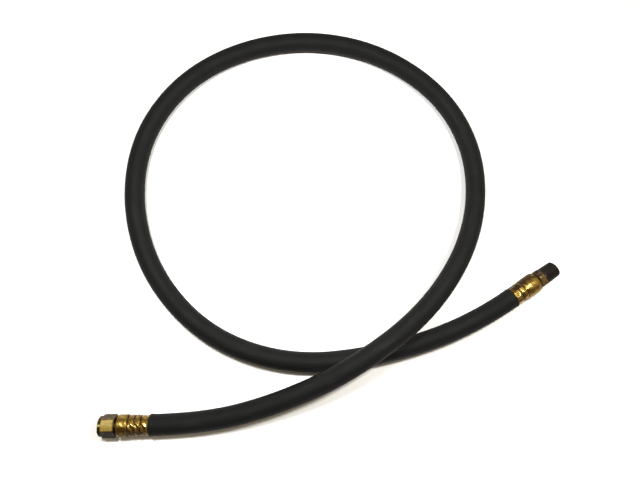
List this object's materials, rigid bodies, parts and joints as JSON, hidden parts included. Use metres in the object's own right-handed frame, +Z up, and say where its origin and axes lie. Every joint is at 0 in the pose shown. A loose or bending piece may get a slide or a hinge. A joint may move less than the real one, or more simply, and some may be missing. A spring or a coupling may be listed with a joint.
{
  "type": "braided hose assembly",
  "caption": "Rubber supply hose with a braid inside its wall, crimped brass ends, a swivel nut with a female pipe thread and a tapered male pipe thread.",
  "frame": {"origin": "on the surface that the hose lies on, midway between the two end fittings", "axes": "+Z up from that surface, +X from the swivel end towards the male end, +Y towards the loop"},
  "size_m": [0.4537, 0.4267, 0.0431],
  "materials": {
    "nut_brass": "worn satin with dark tarnish",
    "ferrule_brass": "worn satin, bright on the crimped lands",
    "stem_brass": "dark tarnish and old thread sealant",
    "liner_rubber": "smooth",
    "braid_yarn": "woven textile yarn",
    "cover_rubber": "smooth, lightly scuffed"
  },
  "bodies": {
    "hose_assembly": {"swivel_stem": "nut_brass", "swivel_ferrule": "ferrule_brass", "male_ferrule": "ferrule_brass", "male_stem": "stem_brass", "hose_inner_tube": "liner_rubber", "hose_braid": "braid_yarn", "hose_cover": "cover_rubber"},
    "nut": {"swivel_nut": "nut_brass"}
  },
  "joints": [
    {"name": "nut_spin", "type": "hinge", "parent": "hose_assembly", "child": "nut", "pos_m": [-0.21199, -0.0734, 0.0105], "axis": [-0.9998, -0.0184, 0], "continuous": true}
  ]
}
